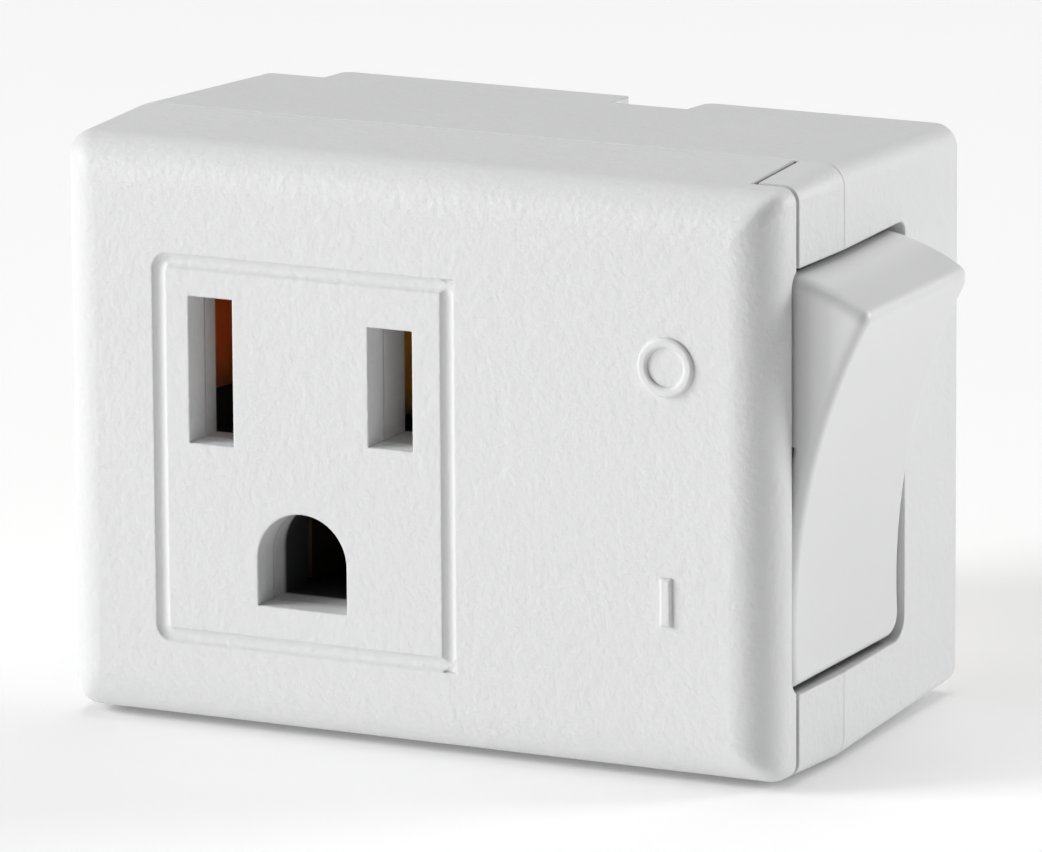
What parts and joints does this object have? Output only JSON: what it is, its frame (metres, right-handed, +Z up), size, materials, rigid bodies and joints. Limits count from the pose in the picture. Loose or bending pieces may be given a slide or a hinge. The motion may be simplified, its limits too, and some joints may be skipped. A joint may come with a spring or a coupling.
{
  "type": "switched plug adapter",
  "caption": "Box-shaped grounded plug adapter with one outlet on the front, blades at the back and a rocker switch on its right side.",
  "frame": {"origin": "on the wall plane (the back face), midway between the two flat blades", "axes": "+X to the right seen from the room, +Y into the wall, +Z up"},
  "size_m": [0.0551, 0.0493, 0.0385],
  "materials": {
    "shell_plastic": "white, fine moulded grain",
    "rocker_plastic": "white, smooth satin",
    "carrier_plastic": "pale grey, smooth",
    "inner_plastic": "natural, smooth",
    "contact_copper": "bright copper alloy",
    "contact_brass": "rolled brass strip",
    "contact_silver": "silver alloy",
    "blade_brass": "drawn brass",
    "rivet_metal": "bright brass",
    "spring_steel": "spring wire",
    "screw_steel": "zinc plated"
  },
  "bodies": {
    "housing": {"front_cover": "shell_plastic", "rear_housing": "shell_plastic", "contact_carrier": "carrier_plastic", "blade_holder": "carrier_plastic", "switch_frame": "carrier_plastic", "neutral_contact": "contact_copper", "hot_contact": "contact_brass", "ground_contact": "contact_brass", "neutral_blade": "blade_brass", "hot_blade": "blade_brass", "ground_pin": "blade_brass", "blade_rivets": "rivet_metal", "load_rivet": "rivet_metal", "line_terminal": "contact_brass", "load_terminal": "contact_brass", "fixed_contact_tip": "contact_silver", "housing_screws": "screw_steel"},
    "rocker": {"rocker": "rocker_plastic", "plunger_spring": "spring_steel"},
    "plunger": {"plunger": "inner_plastic"},
    "lever": {"contact_lever": "contact_copper", "moving_contact_tip": "contact_silver"}
  },
  "joints": [
    {"name": "rocker_hinge", "type": "hinge", "parent": "housing", "child": "rocker", "pos_m": [0.03006, -0.0175, -0.0043], "axis": [0, 1, 0], "range_deg": [-23.6, 0]},
    {"name": "lever_hinge", "type": "hinge", "parent": "housing", "child": "lever", "pos_m": [0.0195, -0.0175, -0.0043], "axis": [0, 1, 0], "range_deg": [0, 14]},
    {"name": "plunger_slide", "type": "slide", "parent": "rocker", "child": "plunger", "axis": [0.9789, 0, -0.2045], "range_m": [0, 0.0006], "stiffness_N_per_m": 300, "springref_m": -0.001, "deforming": ["plunger_spring"]}
  ],
  "couplings": [
    {"joint": "lever_hinge", "follows": "rocker_hinge", "ratio": -0.59322}
  ]
}
